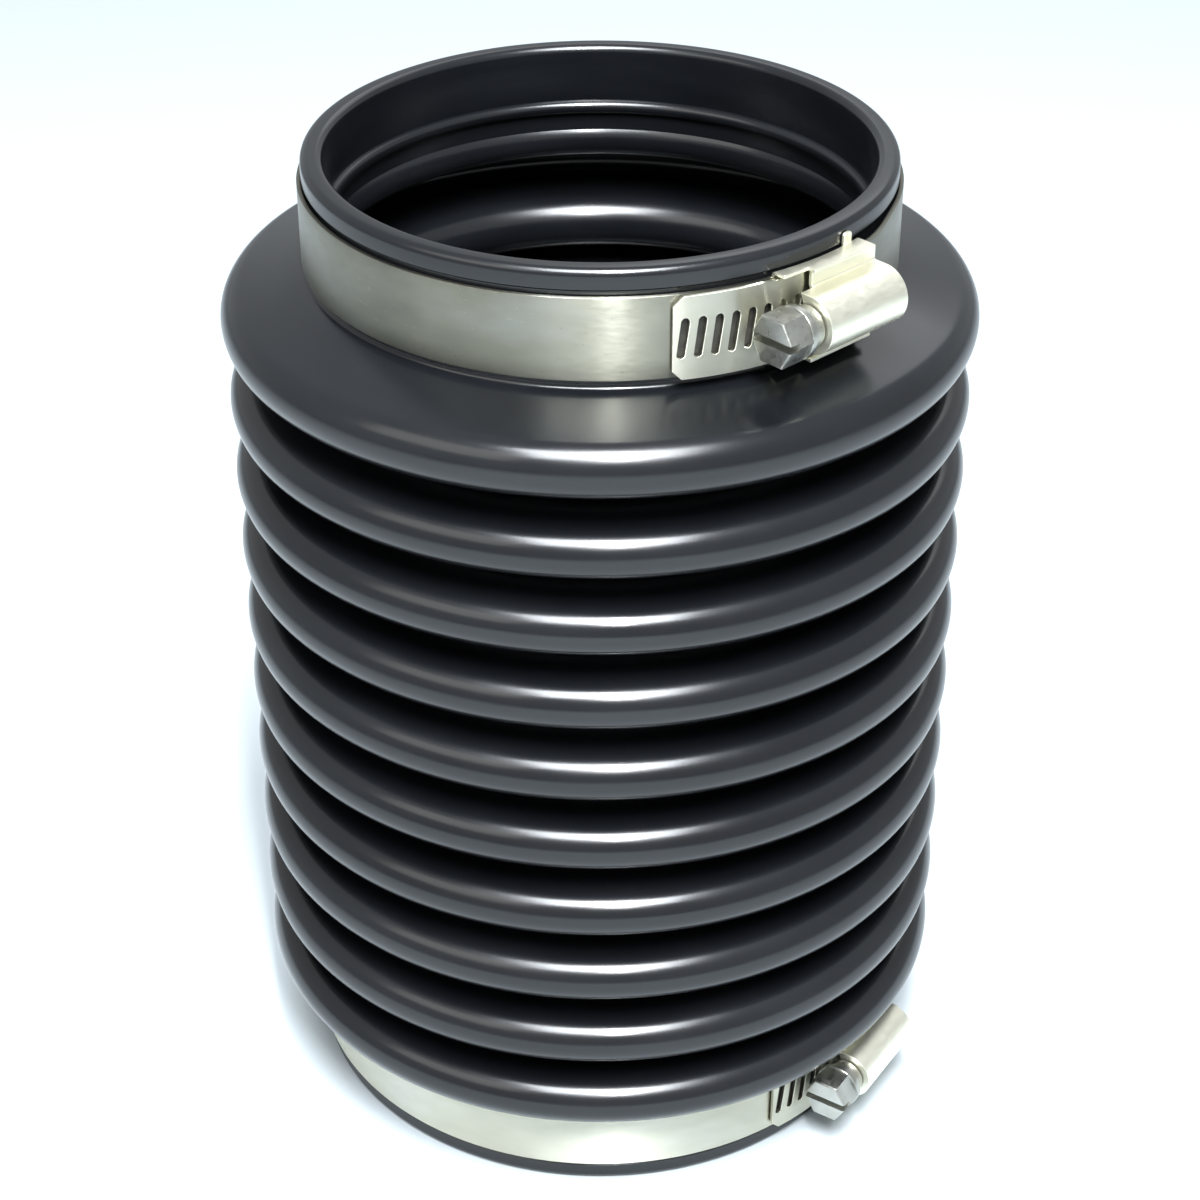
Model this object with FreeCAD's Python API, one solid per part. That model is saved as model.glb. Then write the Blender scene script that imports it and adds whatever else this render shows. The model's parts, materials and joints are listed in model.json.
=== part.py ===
import FreeCAD, Part
import math
import os

# Moulded rubber bellows coupling with a worm-drive band clamp on each end collar.
# Millimetres. +Z runs up the coupling's axis and the origin is on that axis, in the lower rim's face.
# Azimuth is measured about +Z from the front (-Y) towards the right (+X).

# ---- rubber moulding: driving sizes ----
UPPER_NECK_RADIUS = 45.0      # outside of the upper collar
LOWER_NECK_RADIUS = 49.8      # outside of the lower collar
NECK_WALL = 3.5
LIP_ROUND = 1.2               # rounding of the rim's two edges
SEAT_START = 3.3              # rim to the start of the clamp's seat
SEAT_DEPTH = 0.3              # seat below the neck's surface
NECK_FILLET = 0.8             # neck to flange
UPPER_FLANGE_SLOPE = 15.0     # degrees, the flange's fall towards its outer edge
LOWER_FLANGE_SLOPE = 6.0
SEAL_BEAD_LEVEL = 10.5        # rim to the ring moulded inside the bore
SEAL_BEAD_RADIUS = 1.2
SEAL_BEAD_HEIGHT = 1.1
SHOULDER_STEP = 0.7           # how far the pipe stop stands into the bore
SHOULDER_ROUND = 3.4
WALL = 2.0                    # convolutions and flange
CREST_RADIUS = 58.0           # outside of the convolutions
CREST_ROUND = 3.85            # half the thickness of one convolution
UPPER_CREST_RADIUS = 58.5     # outside of the convolution next to the upper collar
UPPER_CREST_ROUND = 4.6
LOWER_CREST_RADIUS = 58.0
LOWER_CREST_ROUND = 4.0
CREST_PITCH = 12.86
CREST_COUNT = 10
UPPER_END_TO_CREST = 26.1     # rim to the level of the nearest convolution
LOWER_END_TO_CREST = 22.4
ROOT_RADIUS = 41.5            # inside of the folds between convolutions
FOLD_JOIN = 7.0               # the fold's web ends this far inside the crest radius
FOLD_GAP = 0.3                # play between a web and the crest of the next body

# ---- clamps: driving sizes ----
BAND_WIDTH = 12.7
BAND_THICKNESS = 0.65
BAND_INSET = 3.9              # rim to the band's near edge
UPPER_CLAMP_AZIMUTH = 43.6
LOWER_CLAMP_AZIMUTH = 57.2
UPPER_SLOT_COUNT = 11
LOWER_SLOT_COUNT = 9
SEAT_CLEARANCE = 0.3          # rubber seat to band
LAYER_CLEARANCE = 0.3         # between one layer of band and the next
SLOT_PITCH = 2.5
SLOT_WIDTH = 1.2
SLOT_LENGTH = 6.2
TAIL_END_MARGIN = 1.5         # last slot's centre to the end of the tail
TAIL_CORNER = 1.4
BAND_RAMP = 16.0              # degrees over which the band climbs to the worm's layer
LOOP_INSIDE = 2.0             # how far the loop's end reaches into the housing's rear
LOOP_FLAT = 2.5               # length of the loop's end at the worm's layer
THREAD_HEIGHT = 0.7
THREAD_ROOT_RADIUS = 2.8
THREAD_CREST_WIDTH = 0.5
THREAD_ROOT_WIDTH = 0.9
THREAD_LENGTH = 11.2
THREAD_BURIED = 0.25          # the thread's section reaches this far into the worm's core
SCREW_NECK_RADIUS = 2.3
SCREW_TIP_LENGTH = 0.8
HEAD_ACROSS_FLATS = 7.0
HEAD_LENGTH = 4.4
HEAD_CHAMFER = 0.3
WASHER_RADIUS = 3.9
WASHER_THICKNESS = 1.1
SHOULDER_RADIUS = 3.2         # the screw's shoulder, between its washer face and the housing
SHOULDER_LENGTH = 2.0
SHOULDER_GAP = 0.3
DRIVER_SLOT_WIDTH = 1.2
DRIVER_SLOT_DEPTH = 1.7
HOUSING_START = -7.2          # ends of the housing's dome, along the screw from the clamp's middle
HOUSING_END = 8.7
FOOT_START = -4.6             # the housing's feet start behind its mouth
HOUSING_SHEET = 0.6
HOUSING_BORE_CLEARANCE = 0.25
SIDE_CLEARANCE = 0.3          # band edge to the saddle's side wall
FOOT_CLEARANCE = 0.1          # housing's foot to the saddle's side wall
SADDLE_SHEET = 0.5
SADDLE_START = -9.4
SADDLE_END = 7.7
SADDLE_WALL_HEIGHT = 0.8      # side wall above the housing's foot
SADDLE_LOW_WALL = 0.5         # side wall above the tail, in front of the housing's feet
TAB_START = 4.2
TAB_LENGTH = 1.8
UPPER_TAB_HEIGHT = 1.7        # tab standing up from the saddle's upper side
LOWER_TAB_HEIGHT = 0.0
SCREW_TURNS = 1.0             # travel of the screw each way

# ---- sizes that follow ----
GROOVE_ROUND = CREST_PITCH / 2 - CREST_ROUND
OVERALL_HEIGHT = LOWER_END_TO_CREST + (CREST_COUNT - 1) * CREST_PITCH + UPPER_END_TO_CREST
JOIN_RADIUS = CREST_RADIUS - FOLD_JOIN
THREAD_RADIUS = THREAD_ROOT_RADIUS + THREAD_HEIGHT
HOUSING_INNER = THREAD_RADIUS + HOUSING_BORE_CLEARANCE
HOUSING_OUTER = HOUSING_INNER + HOUSING_SHEET
WALL_INSIDE = BAND_WIDTH / 2 + SIDE_CLEARANCE
FOOT_EDGE = WALL_INSIDE - FOOT_CLEARANCE
ORIGIN = FreeCAD.Vector(0, 0, 0)
UP = FreeCAD.Vector(0, 0, 1)


def point(radius, height):
    """A point of a turned outline, in the plane through the axis."""
    return FreeCAD.Vector(radius, 0, height)


def line(start, end):
    return Part.LineSegment(start, end).toShape()


def on_circle(centre, radius, degrees):
    angle = math.radians(degrees)
    return centre + FreeCAD.Vector(radius * math.cos(angle), 0, radius * math.sin(angle))


def arc(centre, radius, start, end):
    """An arc of a turned outline, between two angles in degrees."""
    middle = (start + end) / 2
    points = [on_circle(centre, radius, a) for a in (start, middle, end)]
    return Part.Arc(*points).toShape()


def joined(pieces):
    """The pieces in order, with straight lines closing the gaps between them."""
    edges = []
    for index, piece in enumerate(pieces):
        edges.append(piece)
        following = pieces[(index + 1) % len(pieces)]
        start = last_point(piece)
        end = first_point(following)
        if start.distanceToPoint(end) > 1e-6:
            edges.append(line(start, end))
    return Part.Wire(edges)


def first_point(edge):
    return edge.valueAt(edge.FirstParameter)


def last_point(edge):
    return edge.valueAt(edge.LastParameter)


def turned(pieces):
    """The ring that an outline sweeps about the axis."""
    face = Part.Face(joined(pieces))
    return face.revolve(FreeCAD.Vector(0, 0, 0), FreeCAD.Vector(0, 0, 1), 360)


def at_height(shape, height):
    moved = shape.copy()
    moved.translate(FreeCAD.Vector(0, 0, height))
    return moved


# ---- rubber moulding ----

def end_collar(neck_radius, end_to_crest, flange_slope, crest_radius, crest_round):
    """End collar, rim down: clamp seat, seal bead, pipe stop, flange and end convolution."""
    slope = math.radians(flange_slope)
    bore_radius = neck_radius - NECK_WALL
    seat_radius = neck_radius - SEAT_DEPTH
    flank = end_to_crest + CREST_ROUND
    crest = point(crest_radius - crest_round, flank - crest_round)
    flange_edge = on_circle(crest, crest_round, flange_slope - 90)

    def flange_height(radius):
        return flange_edge.z - (flange_edge.x - radius) * math.tan(slope)

    fillet_radius = seat_radius + NECK_FILLET
    fillet = point(fillet_radius, flange_height(fillet_radius) - NECK_FILLET / math.cos(slope))
    shoulder_radius = bore_radius - SHOULDER_STEP + SHOULDER_ROUND
    shoulder_rise = (SHOULDER_ROUND - WALL) / math.cos(slope)
    shoulder = point(shoulder_radius, flange_height(shoulder_radius) - shoulder_rise)
    shoulder_start = 180 + math.degrees(math.acos((shoulder_radius - bore_radius) / SHOULDER_ROUND))
    bead = point(bore_radius + SEAL_BEAD_RADIUS - SEAL_BEAD_HEIGHT, SEAL_BEAD_LEVEL)
    bead_half = math.degrees(math.acos((bead.x - bore_radius) / SEAL_BEAD_RADIUS))
    lip_outside = point(neck_radius - LIP_ROUND, LIP_ROUND)
    lip_inside = point(bore_radius + LIP_ROUND, LIP_ROUND)
    return turned([
        arc(lip_outside, LIP_ROUND, -90, 0),
        line(point(neck_radius, SEAT_START - SEAT_DEPTH), point(seat_radius, SEAT_START)),
        arc(fillet, NECK_FILLET, 180, flange_slope + 90),
        arc(crest, crest_round, flange_slope - 90, 90),
        line(point(JOIN_RADIUS, flank), point(JOIN_RADIUS, flank - WALL)),
        arc(crest, crest_round - WALL, 90, flange_slope - 90),
        arc(shoulder, SHOULDER_ROUND, flange_slope + 90, shoulder_start),
        arc(bead, SEAL_BEAD_RADIUS, 180 - bead_half, 180 + bead_half),
        arc(lip_inside, LIP_ROUND, 180, 270),
    ])


def crest_ring():
    """One hollow convolution, open on the inside."""
    centre = point(CREST_RADIUS - CREST_ROUND, 0)
    inner_round = CREST_ROUND - WALL
    return turned([
        arc(centre, CREST_ROUND, -90, 90),
        line(point(JOIN_RADIUS, CREST_ROUND), point(JOIN_RADIUS, inner_round)),
        arc(centre, inner_round, 90, -90),
        line(point(JOIN_RADIUS, -inner_round), point(JOIN_RADIUS, -CREST_ROUND)),
    ])


def fold_web():
    """The flexing web between two convolutions, round its root."""
    outer_round = GROOVE_ROUND
    inner_round = GROOVE_ROUND + WALL
    centre = point(ROOT_RADIUS + inner_round, 0)
    free_radius = JOIN_RADIUS - FOLD_GAP
    return turned([
        arc(centre, outer_round, 270, 90),
        line(point(free_radius, outer_round), point(free_radius, inner_round)),
        arc(centre, inner_round, 90, 270),
        line(point(JOIN_RADIUS, -inner_round), point(JOIN_RADIUS, -outer_round)),
    ])


def rubber_parts():
    """Every node of the moulding, from the bottom up."""
    parts = {}
    parts["lower_collar"] = end_collar(
        LOWER_NECK_RADIUS, LOWER_END_TO_CREST, LOWER_FLANGE_SLOPE, LOWER_CREST_RADIUS, LOWER_CREST_ROUND)
    ring = crest_ring()
    web = fold_web()
    for number in range(1, CREST_COUNT):
        level = LOWER_END_TO_CREST + (number - 1) * CREST_PITCH
        parts["fold_%02d" % number] = at_height(web, level + CREST_PITCH / 2)
        if number > 1:
            parts["convolution_%02d" % number] = at_height(ring, level)
    upper = end_collar(
        UPPER_NECK_RADIUS, UPPER_END_TO_CREST, UPPER_FLANGE_SLOPE, UPPER_CREST_RADIUS, UPPER_CREST_ROUND)
    parts["upper_collar"] = at_height(upper.mirror(ORIGIN, UP), OVERALL_HEIGHT)
    return parts


# ---- clamps ----
# A clamp is built with its worm over +X: +X is outward, and +Y runs along the screw away from its head.

def polar(radius, degrees, height=0.0):
    angle = math.radians(degrees)
    return FreeCAD.Vector(radius * math.cos(angle), radius * math.sin(angle), height)


def angle_at(distance, radius):
    """Angle that a distance along the screw makes at the coupling's axis."""
    return math.degrees(math.asin(distance / radius))


def strip(inner_radii, start, end, width, thickness):
    """A curved strip of sheet standing on edge, whose inside passes through three radii."""
    angles = (start, (start + end) / 2, end)
    inside = [polar(r, a, -width / 2) for r, a in zip(inner_radii, angles)]
    outside = [polar(r + thickness, a, -width / 2) for r, a in zip(inner_radii, angles)]
    edges = [
        Part.Arc(*inside).toShape(),
        line(inside[2], outside[2]),
        Part.Arc(*reversed(outside)).toShape(),
        line(outside[0], inside[0]),
    ]
    return Part.Face(Part.Wire(edges)).extrude(FreeCAD.Vector(0, 0, width))


def round_strip(inner, start, end, width, thickness):
    return strip((inner, inner, inner), start, end, width, thickness)


class Clamp:
    """One worm-drive clamp, sized for the neck that it goes round."""

    def __init__(self, neck_radius, slot_count, tab_height):
        self.neck = neck_radius
        self.slot_count = slot_count
        self.tab_height = tab_height
        self.band_inner = neck_radius - SEAT_DEPTH + SEAT_CLEARANCE
        self.band_outer = self.band_inner + BAND_THICKNESS
        self.tail_inner = self.band_outer + LAYER_CLEARANCE
        self.tail_outer = self.tail_inner + BAND_THICKNESS
        self.tail_middle = (self.tail_inner + self.tail_outer) / 2
        self.foot_level = self.tail_outer + LAYER_CLEARANCE
        self.screw_axis = self.foot_level + THREAD_ROOT_RADIUS
        self.slot_step = math.degrees(SLOT_PITCH / self.tail_middle)
        self.saddle_start = angle_at(SADDLE_START, self.band_inner)
        self.saddle_end = angle_at(SADDLE_END, self.band_inner)
        # The loop ends a little way inside the housing. The tail starts clear of it when loosest,
        # midway between two turns of the thread.
        self.loop_end = angle_at(HOUSING_END - LOOP_INSIDE, self.tail_outer)
        travel = SCREW_TURNS * self.slot_step
        room = self.loop_end - travel - angle_at(LAYER_CLEARANCE, self.tail_inner)
        self.tail_start = math.floor(room / self.slot_step) * self.slot_step

    def slot_angles(self):
        """Slots at the thread's pitch, half a pitch off the worm's middle."""
        return [self.tail_start - (index + 0.5) * self.slot_step for index in range(self.slot_count)]

    def loop(self):
        """The band from the saddle, round the collar, and up into the housing's rear opening."""
        front = self.saddle_start
        ramp_end = self.loop_end + angle_at(LOOP_FLAT, self.tail_outer)
        ramp_start = ramp_end + BAND_RAMP
        back = ramp_start - 360
        turn = (front + back) / 2
        ramp = (self.band_inner, (self.band_inner + self.tail_inner) / 2, self.tail_inner)
        pieces = [
            round_strip(self.band_inner, front, turn, BAND_WIDTH, BAND_THICKNESS),
            round_strip(self.band_inner, turn, back, BAND_WIDTH, BAND_THICKNESS),
            strip(ramp, ramp_start, ramp_end, BAND_WIDTH, BAND_THICKNESS),
            round_strip(self.tail_inner, ramp_end, self.loop_end, BAND_WIDTH, BAND_THICKNESS),
        ]
        return pieces[0].fuse(pieces[1:]).removeSplitter()

    def slot_cutter(self):
        """One slanted, round-ended slot, standing over +X."""
        straight = SLOT_LENGTH - SLOT_WIDTH
        depth = 4 * BAND_THICKNESS
        start = self.tail_middle - depth / 2
        cutter = Part.makeBox(depth, SLOT_WIDTH, straight, FreeCAD.Vector(start, -SLOT_WIDTH / 2, -straight / 2))
        for side in (-1, 1):
            base = FreeCAD.Vector(start, 0, side * straight / 2)
            cutter = cutter.fuse(Part.makeCylinder(SLOT_WIDTH / 2, depth, base, FreeCAD.Vector(1, 0, 0)))
        lean = math.degrees(math.atan(SLOT_PITCH / (2 * math.pi * (THREAD_ROOT_RADIUS + THREAD_RADIUS) / 2)))
        cutter.rotate(ORIGIN, FreeCAD.Vector(1, 0, 0), -lean)
        return cutter

    def corner_cutter(self, end, side):
        """Wedge that takes one corner off the tail's end."""
        start = self.tail_middle - 2 * BAND_THICKNESS
        edge = side * BAND_WIDTH / 2
        outline = [
            FreeCAD.Vector(start, -1, edge + side),
            FreeCAD.Vector(start, TAIL_CORNER, edge + side),
            FreeCAD.Vector(start, TAIL_CORNER, edge),
            FreeCAD.Vector(start, 0, edge - side * TAIL_CORNER),
            FreeCAD.Vector(start, -1, edge - side * TAIL_CORNER),
        ]
        wedge = Part.Face(Part.makePolygon(outline + outline[:1])).extrude(
            FreeCAD.Vector(4 * BAND_THICKNESS, 0, 0))
        wedge.rotate(ORIGIN, UP, end)
        return wedge

    def tail(self):
        """The slotted free end, which runs out under the screw and over the loop."""
        slots = self.slot_angles()
        end = slots[-1] - angle_at(TAIL_END_MARGIN, self.tail_middle)
        tail = round_strip(self.tail_inner, self.tail_start, end, BAND_WIDTH, BAND_THICKNESS)
        cutters = [self.corner_cutter(end, side) for side in (-1, 1)]
        for slot in slots:
            cutter = self.slot_cutter()
            cutter.rotate(ORIGIN, UP, slot)
            cutters.append(cutter)
        return tail.cut(cutters)

    def housing(self):
        """Domed sheet housing over the worm, with a ring at its mouth that holds the screw's neck."""
        y = HOUSING_START
        length = HOUSING_END - HOUSING_START
        foot_top = self.foot_level + HOUSING_SHEET
        section = [
            FreeCAD.Vector(self.screw_axis, y, -HOUSING_OUTER),
            FreeCAD.Vector(foot_top, y, -HOUSING_OUTER),
            FreeCAD.Vector(foot_top, y, -FOOT_EDGE),
            FreeCAD.Vector(self.foot_level, y, -FOOT_EDGE),
            FreeCAD.Vector(self.foot_level, y, -HOUSING_INNER),
            FreeCAD.Vector(self.screw_axis, y, -HOUSING_INNER),
        ]
        mirrored = [FreeCAD.Vector(p.x, p.y, -p.z) for p in reversed(section)]
        inner_top = FreeCAD.Vector(self.screw_axis + HOUSING_INNER, y, 0)
        outer_top = FreeCAD.Vector(self.screw_axis + HOUSING_OUTER, y, 0)
        edges = [line(a, b) for a, b in zip(section, section[1:])]
        edges.append(Part.Arc(section[-1], inner_top, mirrored[0]).toShape())
        edges.extend(line(a, b) for a, b in zip(mirrored, mirrored[1:]))
        edges.append(Part.Arc(mirrored[-1], outer_top, section[0]).toShape())
        shell = Part.Face(Part.Wire(edges)).extrude(FreeCAD.Vector(0, length, 0))
        base = FreeCAD.Vector(self.screw_axis, y, 0)
        along = FreeCAD.Vector(0, 1, 0)
        ring = Part.makeCylinder(HOUSING_INNER + HOUSING_SHEET / 2, HOUSING_SHEET, base, along)
        hole = Part.makeCylinder(SCREW_NECK_RADIUS + LAYER_CLEARANCE, HOUSING_SHEET, base, along)
        above_foot = Part.makeBox(
            2 * HOUSING_OUTER, HOUSING_SHEET, 2 * HOUSING_OUTER, FreeCAD.Vector(foot_top, y, -HOUSING_OUTER))
        notches = []
        for side in (-1, 1):
            edge = HOUSING_OUTER if side > 0 else -FOOT_EDGE
            notches.append(Part.makeBox(
                foot_top, FOOT_START - HOUSING_START, FOOT_EDGE - HOUSING_OUTER, FreeCAD.Vector(0, y, edge)))
        return shell.fuse(ring.cut(hole).common(above_foot)).cut(notches).removeSplitter()

    def saddle(self):
        """Curved plate under the worm whose turned-up sides carry the housing."""
        base = round_strip(self.band_inner, self.saddle_start, self.saddle_end, BAND_WIDTH, BAND_THICKNESS)
        wall_start = self.neck + SEAT_CLEARANCE
        width = WALL_INSIDE + SADDLE_SHEET
        ledge = round_strip(
            wall_start, self.saddle_start, self.saddle_end, 2 * width, self.band_outer - wall_start)
        tall_top = self.foot_level + HOUSING_SHEET + SADDLE_WALL_HEIGHT
        low_top = self.tail_outer + SADDLE_LOW_WALL
        tall_start = FOOT_START - LAYER_CLEARANCE
        sag = 2.0
        bottom = wall_start - sag
        gap = Part.makeBox(
            tall_top, SADDLE_END - SADDLE_START, 2 * WALL_INSIDE,
            FreeCAD.Vector(bottom - sag, SADDLE_START, -WALL_INSIDE))
        core = Part.makeCylinder(wall_start, 4 * width, FreeCAD.Vector(0, 0, -2 * width))
        pieces = [ledge]
        for top, start, end in ((low_top, SADDLE_START, tall_start), (tall_top, tall_start, SADDLE_END)):
            walls = Part.makeBox(top - bottom, end - start, 2 * width, FreeCAD.Vector(bottom, start, -width))
            pieces.append(walls.cut([gap, core]))
        if self.tab_height > 0:
            tab = Part.makeBox(
                SADDLE_SHEET, TAB_LENGTH, self.tab_height + SADDLE_SHEET,
                FreeCAD.Vector(self.band_outer, TAB_START, WALL_INSIDE))
            corners = [e for e in tab.Edges
                       if e.BoundBox.ZMin > width and e.BoundBox.XLength > SADDLE_SHEET / 2]
            pieces.append(tab.makeFillet(TAB_LENGTH / 3, corners))
        return base.fuse(pieces).removeSplitter()

    def thread(self):
        """Right-hand thread whose crests stand in the tail's slots."""
        helix = Part.makeHelix(SLOT_PITCH, THREAD_LENGTH, THREAD_ROOT_RADIUS)
        slope = (THREAD_ROOT_WIDTH - THREAD_CREST_WIDTH) / 2 / THREAD_HEIGHT
        deep_half = THREAD_ROOT_WIDTH / 2 + slope * THREAD_BURIED
        section = [
            FreeCAD.Vector(THREAD_ROOT_RADIUS - THREAD_BURIED, 0, -deep_half),
            FreeCAD.Vector(THREAD_RADIUS, 0, -THREAD_CREST_WIDTH / 2),
            FreeCAD.Vector(THREAD_RADIUS, 0, THREAD_CREST_WIDTH / 2),
            FreeCAD.Vector(THREAD_ROOT_RADIUS - THREAD_BURIED, 0, deep_half),
        ]
        thread = Part.Wire(helix).makePipeShell([Part.makePolygon(section + section[:1])], True, True)
        # At the worm's middle the thread is outward, so it meets the tail half a pitch to each side.
        thread.rotate(ORIGIN, UP, -360 * THREAD_LENGTH / 2 / SLOT_PITCH)
        thread.rotate(ORIGIN, FreeCAD.Vector(1, 0, 0), -90)
        thread.translate(FreeCAD.Vector(self.screw_axis, -THREAD_LENGTH / 2, 0))
        return thread

    def screw(self):
        """Hexagon-headed worm screw with a driver slot."""
        along = FreeCAD.Vector(0, 1, 0)
        root_start = HOUSING_START + HOUSING_SHEET + LAYER_CLEARANCE
        root_end = HOUSING_END - SCREW_TIP_LENGTH
        shoulder_end = HOUSING_START - SHOULDER_GAP
        shoulder_start = shoulder_end - SHOULDER_LENGTH
        washer_start = shoulder_start - WASHER_THICKNESS

        def shaft(radius, start, end):
            return Part.makeCylinder(radius, end - start, FreeCAD.Vector(self.screw_axis, start, 0), along)

        tip = Part.makeCone(
            THREAD_ROOT_RADIUS, THREAD_ROOT_RADIUS - SCREW_TIP_LENGTH, SCREW_TIP_LENGTH,
            FreeCAD.Vector(self.screw_axis, root_end, 0), along)
        return shaft(THREAD_ROOT_RADIUS, root_start, root_end).fuse([
            tip,
            shaft(SCREW_NECK_RADIUS, shoulder_start, root_start),
            shaft(SHOULDER_RADIUS, shoulder_start, shoulder_end),
            shaft(WASHER_RADIUS, washer_start, shoulder_start),
            self.head(washer_start - HEAD_LENGTH),
            self.thread(),
        ])

    def head(self, face):
        """Chamfered hexagon with a slot across its face."""
        corner_radius = HEAD_ACROSS_FLATS / math.sqrt(3)
        corners = []
        for index in range(6):
            angle = math.radians(60 * index + 30)
            x = self.screw_axis + corner_radius * math.cos(angle)
            corners.append(FreeCAD.Vector(x, face, corner_radius * math.sin(angle)))
        outline = Part.Face(Part.makePolygon(corners + corners[:1]))
        prism = outline.extrude(FreeCAD.Vector(0, HEAD_LENGTH, 0))
        narrow = HEAD_ACROSS_FLATS / 2 - HEAD_CHAMFER
        cone = Part.makeCone(
            narrow, narrow + HEAD_LENGTH, HEAD_LENGTH,
            FreeCAD.Vector(self.screw_axis, face, 0), FreeCAD.Vector(0, 1, 0))
        slot = Part.makeBox(
            2 * corner_radius, DRIVER_SLOT_DEPTH, DRIVER_SLOT_WIDTH,
            FreeCAD.Vector(self.screw_axis - corner_radius, face, -DRIVER_SLOT_WIDTH / 2))
        return prism.common(cone).cut(slot)

    def parts(self, prefix, azimuth, level):
        """The clamp's five pieces, turned to their place and set on the seat."""
        pieces = {
            "band_loop": self.loop(),
            "band_tail": self.tail(),
            "clamp_saddle": self.saddle(),
            "clamp_housing": self.housing(),
            "clamp_screw": self.screw(),
        }
        placed = {}
        for name, shape in pieces.items():
            shape.rotate(ORIGIN, UP, azimuth - 90)
            placed["%s_%s" % (prefix, name)] = at_height(shape, level)
        return placed


def main():
    os.makedirs("parts", exist_ok=True)
    parts = rubber_parts()
    band_level = BAND_INSET + BAND_WIDTH / 2
    lower = Clamp(LOWER_NECK_RADIUS, LOWER_SLOT_COUNT, LOWER_TAB_HEIGHT)
    parts.update(lower.parts("lower", LOWER_CLAMP_AZIMUTH, band_level))
    upper = Clamp(UPPER_NECK_RADIUS, UPPER_SLOT_COUNT, UPPER_TAB_HEIGHT)
    parts.update(upper.parts("upper", UPPER_CLAMP_AZIMUTH, OVERALL_HEIGHT - band_level))
    for name, shape in parts.items():
        shape.exportStep("parts/%s.step" % name)
        print(name, "valid" if shape.isValid() else "NOT VALID", len(shape.Solids), round(shape.Volume, 1))
    print("overall height", OVERALL_HEIGHT)
    for name, clamp in (("lower", lower), ("upper", upper)):
        print(name, "screw axis radius", clamp.screw_axis, "slot circle radius", clamp.tail_middle)


main()
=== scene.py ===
import json
import math

import bmesh
import bpy
from mathutils import Matrix, Vector


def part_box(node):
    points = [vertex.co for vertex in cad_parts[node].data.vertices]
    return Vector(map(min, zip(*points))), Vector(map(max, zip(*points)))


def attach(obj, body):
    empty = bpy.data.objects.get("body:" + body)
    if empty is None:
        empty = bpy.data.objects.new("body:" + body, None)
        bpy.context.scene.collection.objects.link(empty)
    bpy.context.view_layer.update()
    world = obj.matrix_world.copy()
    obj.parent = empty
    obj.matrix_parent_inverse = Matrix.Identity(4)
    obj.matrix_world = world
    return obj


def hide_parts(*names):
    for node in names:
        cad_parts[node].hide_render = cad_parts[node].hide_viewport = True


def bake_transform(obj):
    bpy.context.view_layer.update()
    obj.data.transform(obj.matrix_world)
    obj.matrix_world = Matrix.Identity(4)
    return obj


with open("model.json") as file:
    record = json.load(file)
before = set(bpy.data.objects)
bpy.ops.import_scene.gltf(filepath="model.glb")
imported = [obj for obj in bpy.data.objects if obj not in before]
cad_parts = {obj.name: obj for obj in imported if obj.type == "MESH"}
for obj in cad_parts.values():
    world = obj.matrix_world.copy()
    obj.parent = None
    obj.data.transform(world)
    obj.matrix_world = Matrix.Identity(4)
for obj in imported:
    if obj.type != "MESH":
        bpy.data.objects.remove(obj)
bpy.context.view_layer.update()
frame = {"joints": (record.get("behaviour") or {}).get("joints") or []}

# Moulded rubber bellows coupling with a worm-drive band clamp round each end collar.
# Metres. +Z is up the coupling's axis, the lower rim is at zero, and the front is -Y.

MM = 0.001
UP = Vector((0, 0, 1))
ROUND_STEPS = 256             # facets round the axis
BAND_STEPS = 300              # facets along a band
SHARP_ANGLE = math.radians(32)

# ---- rubber moulding ----
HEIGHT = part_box("upper_collar")[1].z
NECK_WALL = 3.5 * MM
UPPER_NECK_RADIUS = 45.0 * MM
LOWER_NECK_RADIUS = 49.8 * MM
UPPER_FLANGE_SLOPE = 15       # degrees
LOWER_FLANGE_SLOPE = 6
UPPER_CREST_RADIUS = 58.5 * MM
UPPER_CREST_ROUND = 4.6 * MM
LOWER_CREST_RADIUS = 58.0 * MM
LOWER_CREST_ROUND = 4.0 * MM
LIP_ROUND = 1.2 * MM
SEAT_START = 3.3 * MM
SEAT_DEPTH = 0.3 * MM
NECK_FILLET = 0.8 * MM
SEAL_BEAD_LEVEL = 10.5 * MM
SEAL_BEAD_RADIUS = 1.2 * MM
SEAL_BEAD_HEIGHT = 1.1 * MM
SHOULDER_STEP = 0.7 * MM
SHOULDER_ROUND = 3.4 * MM
WALL = 2.0 * MM
ROOT_RADIUS = 41.5 * MM
JOIN_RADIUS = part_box("fold_01")[1].x
CREST_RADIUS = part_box("convolution_02")[1].x
CREST_ROUND = (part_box("convolution_02")[1].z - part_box("convolution_02")[0].z) / 2
RINGS = range(2, 10)


def middle_level(node):
    low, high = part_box(node)
    return (low.z + high.z) / 2


PITCH = middle_level("convolution_03") - middle_level("convolution_02")
FIRST_LEVEL = middle_level("convolution_02") - PITCH
LAST_LEVEL = middle_level("convolution_09") + PITCH
GROOVE_ROUND = PITCH / 2 - CREST_ROUND

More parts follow.
